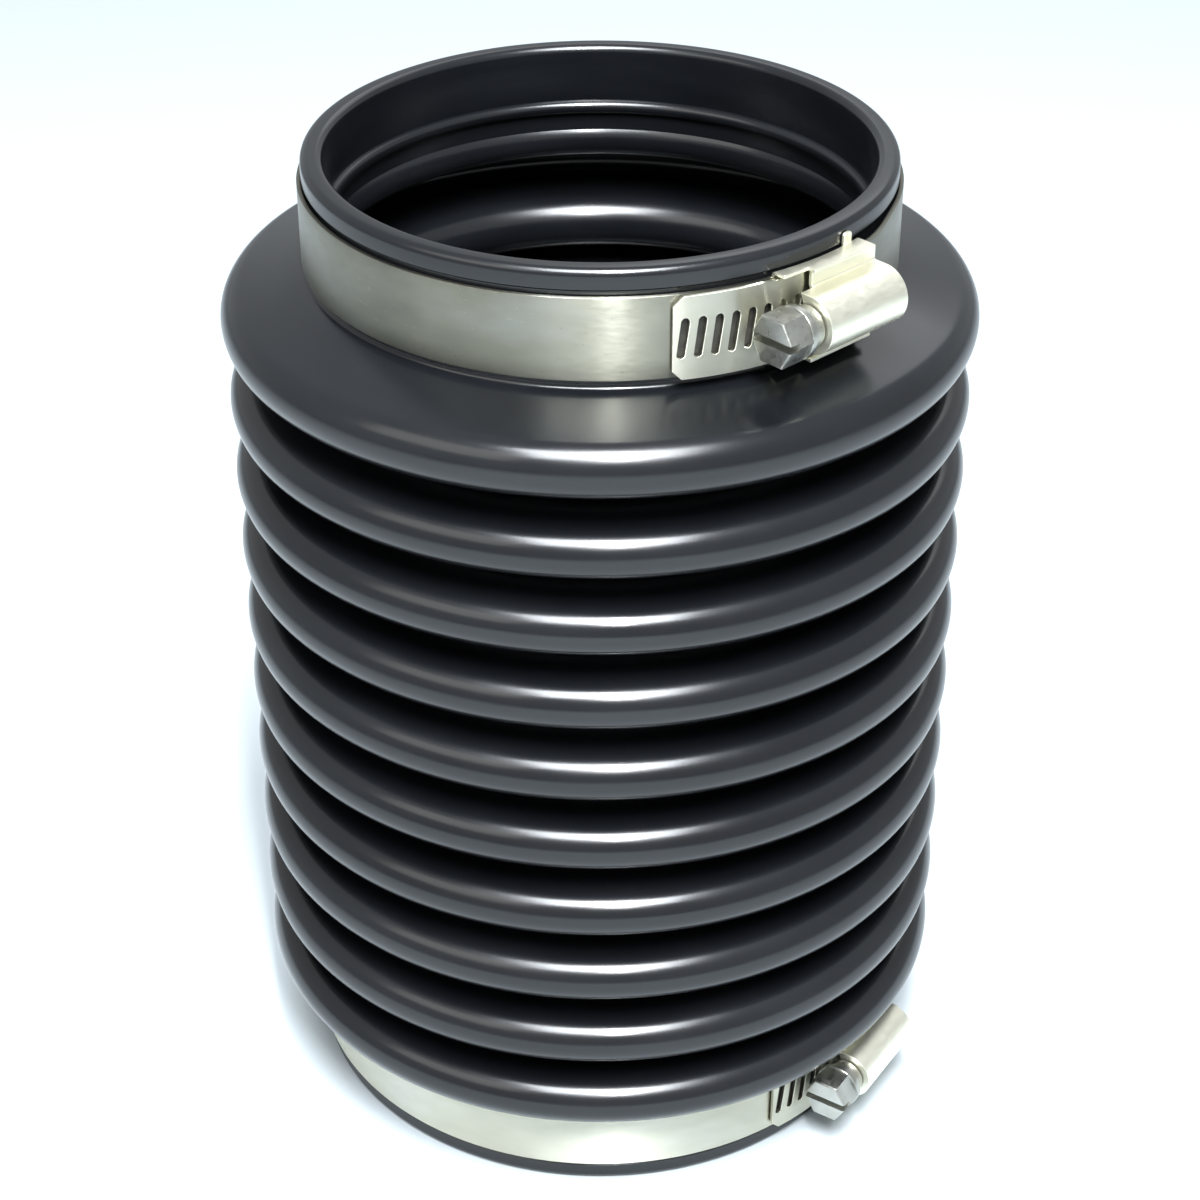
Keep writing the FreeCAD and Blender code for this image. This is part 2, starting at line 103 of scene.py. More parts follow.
# ---- clamps ----
BAND_WIDTH = 12.7 * MM
BAND_THICKNESS = 0.65 * MM
SEAT_CLEARANCE = 0.3 * MM
LAYER_CLEARANCE = 0.3 * MM
UPPER_SLOT_COUNT = 11
LOWER_SLOT_COUNT = 9
SLOT_PITCH = 2.5 * MM
SLOT_WIDTH = 1.2 * MM
SLOT_LENGTH = 6.2 * MM
TAIL_END_MARGIN = 1.5 * MM
TAIL_CORNER = 1.4 * MM
BAND_RAMP = math.radians(16)
LOOP_INSIDE = 2.0 * MM
LOOP_FLAT = 2.5 * MM
THREAD_HEIGHT = 0.7 * MM
THREAD_ROOT_RADIUS = 2.8 * MM
THREAD_CREST_WIDTH = 0.5 * MM
THREAD_ROOT_WIDTH = 0.9 * MM
THREAD_LENGTH = 11.2 * MM
THREAD_BURIED = 0.25 * MM
THREAD_RADIUS = THREAD_ROOT_RADIUS + THREAD_HEIGHT
SLOT_LEAN = math.atan(SLOT_PITCH / (math.pi * (THREAD_ROOT_RADIUS + THREAD_RADIUS)))
SCREW_NECK_RADIUS = 2.3 * MM
SCREW_TIP_LENGTH = 0.8 * MM
HEAD_ACROSS_FLATS = 7.0 * MM
HEAD_LENGTH = 4.4 * MM
HEAD_CHAMFER = 0.35 * MM
WASHER_RADIUS = 3.9 * MM
WASHER_THICKNESS = 1.1 * MM
WASHER_EDGE = 0.15 * MM
SHOULDER_RADIUS = 3.2 * MM
SHOULDER_LENGTH = 2.0 * MM
SHOULDER_GAP = 0.3 * MM
DRIVER_SLOT_WIDTH = 1.2 * MM
DRIVER_SLOT_DEPTH = 1.7 * MM
HOUSING_START = -7.2 * MM
HOUSING_END = 8.7 * MM
FOOT_START = -4.6 * MM
HOUSING_SHEET = 0.6 * MM
HOUSING_INNER = THREAD_RADIUS + 0.25 * MM
HOUSING_BEND = 0.6 * MM
SADDLE_SHEET = 0.5 * MM
SADDLE_START = -9.4 * MM
SADDLE_END = 7.7 * MM
SADDLE_WALL_HEIGHT = 0.8 * MM
SADDLE_LOW_WALL = 0.5 * MM
SADDLE_BEND = 0.5 * MM
WALL_INSIDE = BAND_WIDTH / 2 + 0.3 * MM
FOOT_EDGE = WALL_INSIDE - 0.1 * MM
TAB_START = 4.2 * MM
TAB_LENGTH = 1.8 * MM
UPPER_TAB_HEIGHT = 1.7 * MM
EDGE_ROUND = 0.12 * MM        # rolled edge of the band
SHEET_ROUND = 0.1 * MM        # pressed edge of the sheet pieces


# ---- materials ----

def new_material(name):
    material = bpy.data.materials.new(name)
    material.use_nodes = True
    nodes = material.node_tree.nodes
    return material, nodes, material.node_tree.links, nodes["Principled BSDF"]


def noise(nodes, links, stretch, scale, detail, roughness=0.5):
    """Noise on object coordinates, stretched by a mapping."""
    place = nodes.new("ShaderNodeTexCoord")
    mapping = nodes.new("ShaderNodeMapping")
    mapping.inputs["Scale"].default_value = stretch
    links.new(place.outputs["Object"], mapping.inputs["Vector"])
    texture = nodes.new("ShaderNodeTexNoise")
    texture.inputs["Scale"].default_value = scale
    texture.inputs["Detail"].default_value = detail
    texture.inputs["Roughness"].default_value = roughness
    links.new(mapping.outputs["Vector"], texture.inputs["Vector"])
    return texture.outputs["Fac"]


def spread(nodes, links, value, low, high, out_low, out_high):
    """A value carried from one range to another."""
    ranged = nodes.new("ShaderNodeMapRange")
    ranged.inputs["From Min"].default_value = low
    ranged.inputs["From Max"].default_value = high
    ranged.inputs["To Min"].default_value = out_low
    ranged.inputs["To Max"].default_value = out_high
    links.new(value, ranged.inputs["Value"])
    return ranged.outputs["Result"]


def shades(nodes, links, value, stops):
    """Colours picked along a value."""
    ramp = nodes.new("ShaderNodeValToRGB")
    elements = ramp.color_ramp.elements
    while len(elements) < len(stops):
        elements.new(0.5)
    for element, (position, colour) in zip(elements, stops):
        element.position = position
        element.color = (*colour, 1)
    links.new(value, ramp.inputs["Fac"])
    return ramp.outputs["Color"]


def bumped(nodes, links, shader, heights):
    """Stacks several bumps; each is a value, a strength and a depth in metres."""
    normal = None
    for value, strength, depth in heights:
        bump = nodes.new("ShaderNodeBump")
        bump.inputs["Strength"].default_value = strength
        bump.inputs["Distance"].default_value = depth
        links.new(value, bump.inputs["Height"])
        if normal is not None:
            links.new(normal, bump.inputs["Normal"])
        normal = bump.outputs["Normal"]
    links.new(normal, shader.inputs["Normal"])


def moulded_rubber():
    material, nodes, links, shader = new_material("moulded_rubber")
    flow = noise(nodes, links, (1, 1, 7), 28, 4)
    patches = noise(nodes, links, (1, 1, 1.6), 60, 3)
    grain = noise(nodes, links, (1, 1, 1), 2600, 2)
    colour = shades(nodes, links, flow, [
        (0.30, (0.0028, 0.0032, 0.0040)),
        (0.52, (0.0040, 0.0045, 0.0056)),
        (0.75, (0.0062, 0.0068, 0.0080)),
    ])
    links.new(colour, shader.inputs["Base Color"])
    links.new(spread(nodes, links, patches, 0.3, 0.7, 0.18, 0.26), shader.inputs["Roughness"])
    shader.inputs["IOR"].default_value = 1.5
    bumped(nodes, links, shader, [(flow, 0.10, 0.0004), (grain, 0.12, 0.00003)])
    return material


def rolled_steel(name, dull, middling, clean, smoothest, roughest, brushed):
    """Rolled steel: fine lines along the band, thin yellowish film, a few scuffs; brushed is 0 to 1."""
    material, nodes, links, shader = new_material(name)
    lines = noise(nodes, links, (1, 1, 60), 60, 4, 0.65)
    film = noise(nodes, links, (1, 1, 2.5), 45, 3)
    scuffs = noise(nodes, links, (1, 1, 4), 420, 5, 0.7)
    colour = shades(nodes, links, film, [(0.32, dull), (0.55, middling), (0.72, clean)])
    links.new(colour, shader.inputs["Base Color"])
    shader.inputs["Metallic"].default_value = 1.0
    shader.inputs["Anisotropic"].default_value = brushed
    shader.inputs["Anisotropic Rotation"].default_value = 0.25
    links.new(spread(nodes, links, scuffs, 0.3, 0.7, smoothest, roughest), shader.inputs["Roughness"])
    bumped(nodes, links, shader, [(lines, 0.4, 0.000015), (scuffs, 0.06, 0.00001)])
    return material


def turned_steel():
    """The screws' zinc-plated steel: greyer, with fine turning marks."""
    material, nodes, links, shader = new_material("plated_screw_steel")
    film = noise(nodes, links, (1, 1, 1), 160, 3)
    marks = noise(nodes, links, (1, 1, 1), 1400, 4, 0.6)
    colour = shades(nodes, links, film, [
        (0.32, (0.34, 0.34, 0.31)),
        (0.70, (0.50, 0.50, 0.46)),
    ])
    links.new(colour, shader.inputs["Base Color"])
    shader.inputs["Metallic"].default_value = 1.0
    links.new(spread(nodes, links, marks, 0.3, 0.7, 0.26, 0.42), shader.inputs["Roughness"])
    bumped(nodes, links, shader, [(marks, 0.2, 0.00001)])
    return material


def painted_shade_steel():
    """Near-black matt steel for the loop where the slotted tail lies over it: painted shade, so the
    slots read dark.
    """
    material, nodes, links, shader = new_material("painted_shade_steel")
    shade_mottle = noise(nodes, links, (1, 1, 1), 700, 4, 0.6)
    colour = shades(nodes, links, shade_mottle, [
        (0.30, (0.012, 0.011, 0.009)),
        (0.75, (0.040, 0.036, 0.028)),
    ])
    links.new(colour, shader.inputs["Base Color"])
    shader.inputs["Metallic"].default_value = 0.0
    links.new(spread(nodes, links, shade_mottle, 0.3, 0.7, 0.45, 0.7), shader.inputs["Roughness"])
    bumped(nodes, links, shader, [(shade_mottle, 0.4, 0.00003)])
    return material


RUBBER = moulded_rubber()
# The upper clamp's band loop takes a darker copy of the band steel: painted shade and painted reflection
# of the dark rubber flange below it.
SHADED_BAND = rolled_steel(
    "shaded_band_steel", (0.19, 0.19, 0.155), (0.25, 0.245, 0.20), (0.29, 0.29, 0.255), 0.27, 0.33, 1.0)
BRIGHT_BAND = rolled_steel(
    "bright_band_steel", (0.54, 0.53, 0.44), (0.64, 0.63, 0.53), (0.70, 0.69, 0.61), 0.37, 0.44, 1.0)
PRESSED_STEEL = rolled_steel(
    "pressed_housing_steel", (0.80, 0.78, 0.65), (0.90, 0.88, 0.74), (0.95, 0.94, 0.84), 0.36, 0.46, 0.0)
SCREW_STEEL = turned_steel()
# Painted shade for the loop under the slotted tail.
PAINTED_SHADE_STEEL = painted_shade_steel()


# ---- making pieces ----

def make_piece(name, mesh, material):
    """Turns a finished bmesh into a smooth-shaded object with its sharp edges kept."""
    bmesh.ops.remove_doubles(mesh, verts=mesh.verts, dist=1e-7)
    bmesh.ops.recalc_face_normals(mesh, faces=mesh.faces)
    for face in mesh.faces:
        face.smooth = True
    for edge in mesh.edges:
        edge.smooth = edge.calc_face_angle(0.0) < SHARP_ANGLE
    data = bpy.data.meshes.new(name)
    mesh.to_mesh(data)
    mesh.free()
    data.materials.append(material)
    piece = bpy.data.objects.new(name, data)
    bpy.context.scene.collection.objects.link(piece)
    return piece


class Outline:
    """A section drawn point after point in the XZ plane, then turned about Z."""

    def __init__(self, x, z):
        self.mesh = bmesh.new()
        self.first = self.mesh.verts.new((x, 0, z))
        self.tip = self.first

    def line(self, x, z):
        made = bmesh.ops.extrude_vert_indiv(self.mesh, verts=[self.tip])
        self.tip = made["verts"][0]
        self.tip.co = Vector((x, 0, z))

    def arc(self, centre_x, centre_z, radius, start, end, steps):
        """An arc about a centre; angles run from +X towards +Z, in degrees."""
        angle = math.radians(start)
        x = centre_x + radius * math.cos(angle)
        z = centre_z + radius * math.sin(angle)
        if (self.tip.co - Vector((x, 0, z))).length > 1e-7:
            self.line(x, z)
        made = bmesh.ops.spin(
            self.mesh, geom=[self.tip], cent=(centre_x, 0, centre_z), axis=(0, -1, 0),
            angle=math.radians(end - start), steps=steps)
        self.tip = next(v for v in made["geom_last"] if isinstance(v, bmesh.types.BMVert))

    def turned(self):
        """Closes the section and turns it once round the axis."""
        mesh = self.mesh
        mesh.edges.new((self.tip, self.first))
        bmesh.ops.spin(
            mesh, geom=mesh.verts[:] + mesh.edges[:], cent=(0, 0, 0), axis=(0, 0, 1),
            angle=2 * math.pi, steps=ROUND_STEPS, use_merge=True)
        return mesh


# ---- rubber pieces ----

def end_collar(neck, end_to_crest, flange_slope, crest_radius, crest_round):
    """The collar from its rim at zero: seat, flange, end convolution, pipe stop and seal bead."""
    slope = math.radians(flange_slope)
    bore = neck - NECK_WALL
    seat = neck - SEAT_DEPTH
    flank = end_to_crest + CREST_ROUND
    crest_x = crest_radius - crest_round
    crest_z = flank - crest_round
    edge_x = crest_x + crest_round * math.sin(slope)
    edge_z = crest_z - crest_round * math.cos(slope)

    def flange_height(radius):
        return edge_z - (edge_x - radius) * math.tan(slope)

    fillet_x = seat + NECK_FILLET
    fillet_z = flange_height(fillet_x) - NECK_FILLET / math.cos(slope)
    shoulder_x = bore - SHOULDER_STEP + SHOULDER_ROUND
    shoulder_z = flange_height(shoulder_x) - (SHOULDER_ROUND - WALL) / math.cos(slope)
    shoulder_start = 180 + math.degrees(math.acos((shoulder_x - bore) / SHOULDER_ROUND))
    bead_x = bore + SEAL_BEAD_RADIUS - SEAL_BEAD_HEIGHT
    bead_half = math.degrees(math.acos((bead_x - bore) / SEAL_BEAD_RADIUS))
    outline = Outline(neck - LIP_ROUND, 0)
    outline.arc(neck - LIP_ROUND, LIP_ROUND, LIP_ROUND, -90, 0, 8)
    outline.line(neck, SEAT_START - SEAT_DEPTH)
    outline.line(seat, SEAT_START)
    outline.arc(fillet_x, fillet_z, NECK_FILLET, 180, flange_slope + 90, 6)
    outline.arc(crest_x, crest_z, crest_round, flange_slope - 90, 90, 36)
    outline.line(JOIN_RADIUS, flank)
    outline.line(JOIN_RADIUS, flank - WALL)
    outline.arc(crest_x, crest_z, crest_round - WALL, 90, flange_slope - 90, 20)
    outline.arc(shoulder_x, shoulder_z, SHOULDER_ROUND, flange_slope + 90, shoulder_start, 16)
    outline.arc(bead_x, SEAL_BEAD_LEVEL, SEAL_BEAD_RADIUS, 180 - bead_half, 180 + bead_half, 14)
    outline.arc(bore + LIP_ROUND, LIP_ROUND, LIP_ROUND, 180, 270, 8)
    return outline.turned()


def convolution():
    """One hollow convolution, from flank to flank."""
    centre = CREST_RADIUS - CREST_ROUND
    inner = CREST_ROUND - WALL
    outline = Outline(JOIN_RADIUS, -CREST_ROUND)
    outline.arc(centre, 0, CREST_ROUND, -90, 90, 36)
    outline.line(JOIN_RADIUS, CREST_ROUND)
    outline.line(JOIN_RADIUS, inner)
    outline.arc(centre, 0, inner, 90, -90, 20)
    outline.line(JOIN_RADIUS, -inner)
    return outline.turned()


def web():
    """The web round the root of a groove."""
    inner_round = GROOVE_ROUND + WALL
    centre = ROOT_RADIUS + inner_round
    outline = Outline(JOIN_RADIUS, -GROOVE_ROUND)
    outline.arc(centre, 0, GROOVE_ROUND, 270, 90, 24)
    outline.line(JOIN_RADIUS, GROOVE_ROUND)
    outline.line(JOIN_RADIUS, inner_round)
    outline.arc(centre, 0, inner_round, 90, 270, 36)
    outline.line(JOIN_RADIUS, -inner_round)
    return outline.turned()


def lifted(mesh, height):
    bmesh.ops.translate(mesh, verts=mesh.verts, vec=(0, 0, height))
    return mesh


lower_mesh = end_collar(
    LOWER_NECK_RADIUS, FIRST_LEVEL, LOWER_FLANGE_SLOPE, LOWER_CREST_RADIUS, LOWER_CREST_ROUND)
lower_collar = make_piece("lower_collar_moulding", lower_mesh, RUBBER)
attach(lower_collar, "lower_end")
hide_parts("lower_collar")

upper_mesh = end_collar(
    UPPER_NECK_RADIUS, HEIGHT - LAST_LEVEL, UPPER_FLANGE_SLOPE, UPPER_CREST_RADIUS, UPPER_CREST_ROUND)
bmesh.ops.scale(upper_mesh, vec=(1, 1, -1), verts=upper_mesh.verts)
upper_collar = make_piece("upper_collar_moulding", lifted(upper_mesh, HEIGHT), RUBBER)
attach(upper_collar, "upper_end")
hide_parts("upper_collar")

ring_mesh = convolution()
for number in RINGS:
    level = FIRST_LEVEL + (number - 1) * PITCH
    ring = make_piece("crest_%02d" % number, lifted(ring_mesh.copy(), level), RUBBER)
    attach(ring, "bellows_%02d" % number)
    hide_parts("convolution_%02d" % number)
ring_mesh.free()

web_mesh = web()
for number in range(1, 10):
    level = FIRST_LEVEL + (number - 0.5) * PITCH
    piece = make_piece("web_%02d" % number, lifted(web_mesh.copy(), level), RUBBER)
    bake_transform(piece)
    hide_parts("fold_%02d" % number)
web_mesh.free()

# ---- clamp pieces ----
# A clamp is made with its worm over +X: +X is outward, and +Y runs along the screw away from its head.

class Clamp:
    """Radii, angles and place of one clamp."""

    def __init__(self, prefix, neck_radius, slot_count, tab_height, band_steel):
        self.prefix = prefix
        self.slot_count = slot_count
        self.tab_height = tab_height
        self.band_steel = band_steel
        self.band_inner = neck_radius - SEAT_DEPTH + SEAT_CLEARANCE
        self.band_outer = self.band_inner + BAND_THICKNESS
        self.tail_inner = self.band_outer + LAYER_CLEARANCE
        self.tail_outer = self.tail_inner + BAND_THICKNESS
        self.tail_middle = (self.tail_inner + self.tail_outer) / 2
        self.foot_level = self.tail_outer + LAYER_CLEARANCE
        self.screw_axis = self.foot_level + THREAD_ROOT_RADIUS
        self.slot_step = SLOT_PITCH / self.tail_middle
        self.loop_end = math.asin((HOUSING_END - LOOP_INSIDE) / self.tail_outer)
        room = self.loop_end - self.slot_step - math.asin(LAYER_CLEARANCE / self.tail_inner)
        self.tail_start = math.floor(room / self.slot_step) * self.slot_step
        joint = next(j for j in frame["joints"] if j["name"] == prefix + "_screw_turn")
        middle = Vector(joint["pos_m"])
        outward = Vector((middle.x, middle.y, 0)).normalized()
        self.place = Matrix((outward, UP.cross(outward), UP)).transposed().to_4x4()
        self.place.translation = Vector((0, 0, middle.z))

    def finish(self, name, mesh, body, node, material, sheet=0.0, rounding=0.0):
        """Turns a clamp piece to its place; open sheet gets its thickness, and edges their rounding."""
        bmesh.ops.transform(mesh, matrix=self.place, verts=mesh.verts)
        piece = make_piece("%s_%s" % (self.prefix, name), mesh, material)
        if sheet > 0:
            thicken = piece.modifiers.new("sheet", "SOLIDIFY")
            thicken.thickness = sheet
            thicken.offset = 0
            thicken.use_even_offset = True
        if rounding > 0:
            soften = piece.modifiers.new("rounding", "BEVEL")
            soften.width = rounding
            soften.segments = 2
            soften.limit_method = "ANGLE"
            soften.angle_limit = SHARP_ANGLE
            soften.harden_normals = True
        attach(piece, "%s_%s" % (self.prefix, body))
        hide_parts("%s_%s" % (self.prefix, node))
        return piece


def run_along(mesh, geometry, length, steps):
    """Extrudes edges along Y in equal steps; gives the far end's geometry."""
    made = bmesh.ops.spin(
        mesh, geom=geometry, cent=(0, 0, 0), axis=(0, 0, 1), dvec=(0, length / steps, 0),
        angle=0, steps=steps)
    return made["geom_last"]


def band_loop(clamp):
    """The band from the saddle, round the collar, and up into the housing's rear."""
    half = BAND_WIDTH / 2 - EDGE_ROUND
    near = clamp.band_inner + EDGE_ROUND
    far = clamp.band_outer - EDGE_ROUND
    outline = Outline(far, -half - EDGE_ROUND)
    outline.arc(far, -half, EDGE_ROUND, -90, 0, 3)
    outline.line(clamp.band_outer, -SLOT_LENGTH / 2 - EDGE_ROUND)
    outline.line(clamp.band_outer, SLOT_LENGTH / 2 + EDGE_ROUND)
    outline.arc(far, half, EDGE_ROUND, 0, 90, 3)
    outline.arc(near, half, EDGE_ROUND, 90, 180, 3)
    outline.arc(near, -half, EDGE_ROUND, 180, 270, 3)
    mesh = outline.mesh
    mesh.edges.new((outline.tip, outline.first))
    bmesh.ops.rotate(
        mesh, verts=mesh.verts, cent=(0, 0, 0), matrix=Matrix.Rotation(clamp.loop_end, 3, "Z"))
    saddle_start = math.asin(SADDLE_START / clamp.band_inner)
    sweep = 2 * math.pi + saddle_start - clamp.loop_end
    bmesh.ops.spin(
        mesh, geom=mesh.verts[:] + mesh.edges[:], cent=(0, 0, 0), axis=(0, 0, 1),
        angle=sweep, steps=BAND_STEPS)
    flat_end = clamp.loop_end + math.asin(LOOP_FLAT / clamp.tail_outer)
    climb = clamp.tail_inner - clamp.band_inner
    # The rear end climbs a smooth ramp to the worm's layer.
    for vert in mesh.verts:
        angle = math.atan2(vert.co.y, vert.co.x) % (2 * math.pi)
        part = min(max((angle - flat_end) / BAND_RAMP, 0), 1)
        radius = math.hypot(vert.co.x, vert.co.y)
        grown = radius + climb * (1 - part * part * (3 - 2 * part))
        vert.co.x *= grown / radius
        vert.co.y *= grown / radius
    bmesh.ops.holes_fill(mesh, edges=[e for e in mesh.edges if e.is_boundary], sides=0)
    # The outer face that shows through the slots gets the near-black steel: painted shade under the
    # tail.
    covered_to = clamp.tail_start - clamp.slot_step * clamp.slot_count
    for face in mesh.faces:
        middle = face.calc_center_median()
        angle = math.atan2(middle.y, middle.x)
        outside = math.hypot(middle.x, middle.y) > clamp.band_outer - EDGE_ROUND / 2
        within = abs(middle.z) < SLOT_LENGTH / 2 + EDGE_ROUND
        if covered_to < angle < saddle_start and outside and within:
            face.material_index = 1
    band = clamp.finish("band", mesh, "clamp", "band_loop", clamp.band_steel)
    # Second material: painted shade on the faces under the slotted tail.
    band.data.materials.append(PAINTED_SHADE_STEEL)


def slot_cell(mesh, middle):
    """A rectangle of band one pitch long, round one slanted, round-ended slot."""
    width = BAND_WIDTH / 2
    pitch = SLOT_PITCH / 2
    sides = bmesh.ops.create_circle(mesh, segments=16, radius=1)["verts"]
    inner = bmesh.ops.create_circle(mesh, segments=16, radius=SLOT_WIDTH / 2)["verts"]
    lean = Matrix.Rotation(-SLOT_LEAN, 3, "X")
    for vert in sides:
        angle = math.atan2(vert.co.y, vert.co.x)
        reach = max(abs(math.cos(angle)), abs(math.sin(angle)))
        vert.co = Vector((0, middle + pitch * math.cos(angle) / reach, width * math.sin(angle) / reach))
    for vert in inner:
        across = vert.co.x
        along = vert.co.y + math.copysign((SLOT_LENGTH - SLOT_WIDTH) / 2, vert.co.y + 1e-9)
        vert.co = lean @ Vector((0, across, along)) + Vector((0, middle, 0))
    rim = set(sides) | set(inner)
    loops = [e for e in mesh.edges if e.verts[0] in rim and e.verts[1] in rim]
    bmesh.ops.bridge_loops(mesh, edges=loops)


def band_tail(clamp):
    """The slotted free end, with its corners cut off, wrapped round the worm's layer."""
    mesh = bmesh.new()
    length = (clamp.slot_count - 0.5) * SLOT_PITCH + TAIL_END_MARGIN
    for index in range(clamp.slot_count):
        slot_cell(mesh, -(index + 0.5) * SLOT_PITCH)
    bmesh.ops.remove_doubles(mesh, verts=mesh.verts, dist=1e-6)
    last = -clamp.slot_count * SLOT_PITCH
    tip = [e for e in mesh.edges if all(abs(v.co.y - last) < 1e-6 for v in e.verts)]
    made = bmesh.ops.extrude_edge_only(mesh, edges=tip)
    verts = [v for v in made["geom"] if isinstance(v, bmesh.types.BMVert)]
    bmesh.ops.translate(mesh, verts=verts, vec=(0, -length - last, 0))
    for side in (-1, 1):
        corner = Vector((0, -length + TAIL_CORNER, side * BAND_WIDTH / 2))
        bmesh.ops.bisect_plane(
            mesh, geom=mesh.verts[:] + mesh.edges[:] + mesh.faces[:], plane_co=corner,
            plane_no=(0, -1, side), clear_outer=True)
    for vert in mesh.verts:
        angle = clamp.tail_start + vert.co.y / clamp.tail_middle
        vert.co.x = clamp.tail_middle * math.cos(angle)
        vert.co.y = clamp.tail_middle * math.sin(angle)
    clamp.finish("slotted_tail", mesh, "tail", "band_tail", BRIGHT_BAND, BAND_THICKNESS, EDGE_ROUND)


def saddle(clamp):
    """Channel under the worm: its sides turn up low in front, and tall beside the housing's feet."""
    base = clamp.band_outer - SADDLE_SHEET / 2
    side = WALL_INSIDE + SADDLE_SHEET / 2
    low_top = clamp.tail_outer + SADDLE_LOW_WALL
    tall_top = clamp.foot_level + HOUSING_SHEET + SADDLE_WALL_HEIGHT
    outline = Outline(tall_top, -side)
    outline.line(low_top, -side)
    outline.arc(base + SADDLE_BEND, SADDLE_BEND - side, SADDLE_BEND, 270, 180, 5)
    outline.arc(base + SADDLE_BEND, side - SADDLE_BEND, SADDLE_BEND, 180, 90, 5)
    outline.line(low_top, side)
    outline.line(tall_top, side)
    mesh = outline.mesh
    bmesh.ops.translate(mesh, verts=mesh.verts, vec=(0, SADDLE_START, 0))
    tall_start = FOOT_START - LAYER_CLEARANCE
    geometry = run_along(mesh, mesh.verts[:] + mesh.edges[:], tall_start - SADDLE_START, 8)
    run_along(mesh, geometry, SADDLE_END - tall_start, 24)
    bmesh.ops.remove_doubles(mesh, verts=mesh.verts, dist=1e-7)
    cut = [f for f in mesh.faces
           if f.calc_center_median().y < tall_start and f.calc_center_median().x > low_top]
    bmesh.ops.delete(mesh, geom=cut, context="FACES")
    if clamp.tab_height > 0:
        plate = bmesh.ops.create_grid(mesh, x_segments=1, y_segments=1, size=0.5)["verts"]
        root = WALL_INSIDE
        height = clamp.tab_height + SADDLE_SHEET
        for vert in plate:
            along = TAB_START + (vert.co.x + 0.5) * TAB_LENGTH
            vert.co = Vector((base, along, root + (vert.co.y + 0.5) * height))
        top = [v for v in plate if v.co.z > root + height / 2]
        bmesh.ops.bevel(
            mesh, geom=top, offset=TAB_LENGTH / 3, segments=4, profile=0.5, affect="VERTICES",
            material=-1)
    for vert in mesh.verts:
        share = min(max((vert.co.x - clamp.band_outer) / (tall_top - clamp.band_outer), 0), 1)
        wrapped = math.sqrt(vert.co.x ** 2 - vert.co.y ** 2)
        vert.co.x += (1 - share) * (wrapped - vert.co.x)
    clamp.finish("saddle", mesh, "clamp", "clamp_saddle", PRESSED_STEEL, SADDLE_SHEET, SHEET_ROUND)


def housing(clamp):
    """Domed housing over the worm: feet, sides, dome, and a turned-in lip at its mouth."""
    foot = clamp.foot_level + HOUSING_SHEET / 2
    dome = HOUSING_INNER + HOUSING_SHEET / 2
    axis = clamp.screw_axis
    bend = HOUSING_BEND
    outline = Outline(foot, -FOOT_EDGE)
    outline.arc(foot + bend, -dome - bend, bend, 180, 90, 5)
    outline.arc(axis, 0, dome, -90, 90, 28)
    outline.arc(foot + bend, dome + bend, bend, 270, 180, 5)
    outline.line(foot, FOOT_EDGE)
    mesh = outline.mesh
    mouth = HOUSING_START + HOUSING_SHEET / 2
    bmesh.ops.translate(mesh, verts=mesh.verts, vec=(0, mouth, 0))
    geometry = run_along(mesh, mesh.verts[:] + mesh.edges[:], FOOT_START - mouth, 6)
    run_along(mesh, geometry, HOUSING_END - FOOT_START, 18)
    bmesh.ops.remove_doubles(mesh, verts=mesh.verts, dist=1e-7)
    cut = [f for f in mesh.faces
           if f.calc_center_median().y < FOOT_START and f.calc_center_median().x < foot + bend]
    bmesh.ops.delete(mesh, geom=cut, context="FACES")
    lip = [e for e in mesh.edges if e.is_boundary and all(abs(v.co.y - mouth) < 1e-6 for v in e.verts)]
    made = bmesh.ops.extrude_edge_only(mesh, edges=lip)
    for vert in [v for v in made["geom"] if isinstance(v, bmesh.types.BMVert)]:
        away = Vector((vert.co.x - axis, 0, vert.co.z))
        inward = away.normalized() * (SCREW_NECK_RADIUS + LAYER_CLEARANCE)
        vert.co = Vector((axis + inward.x, mouth, inward.z))
    clamp.finish("housing", mesh, "clamp", "clamp_housing", PRESSED_STEEL, HOUSING_SHEET, SHEET_ROUND)


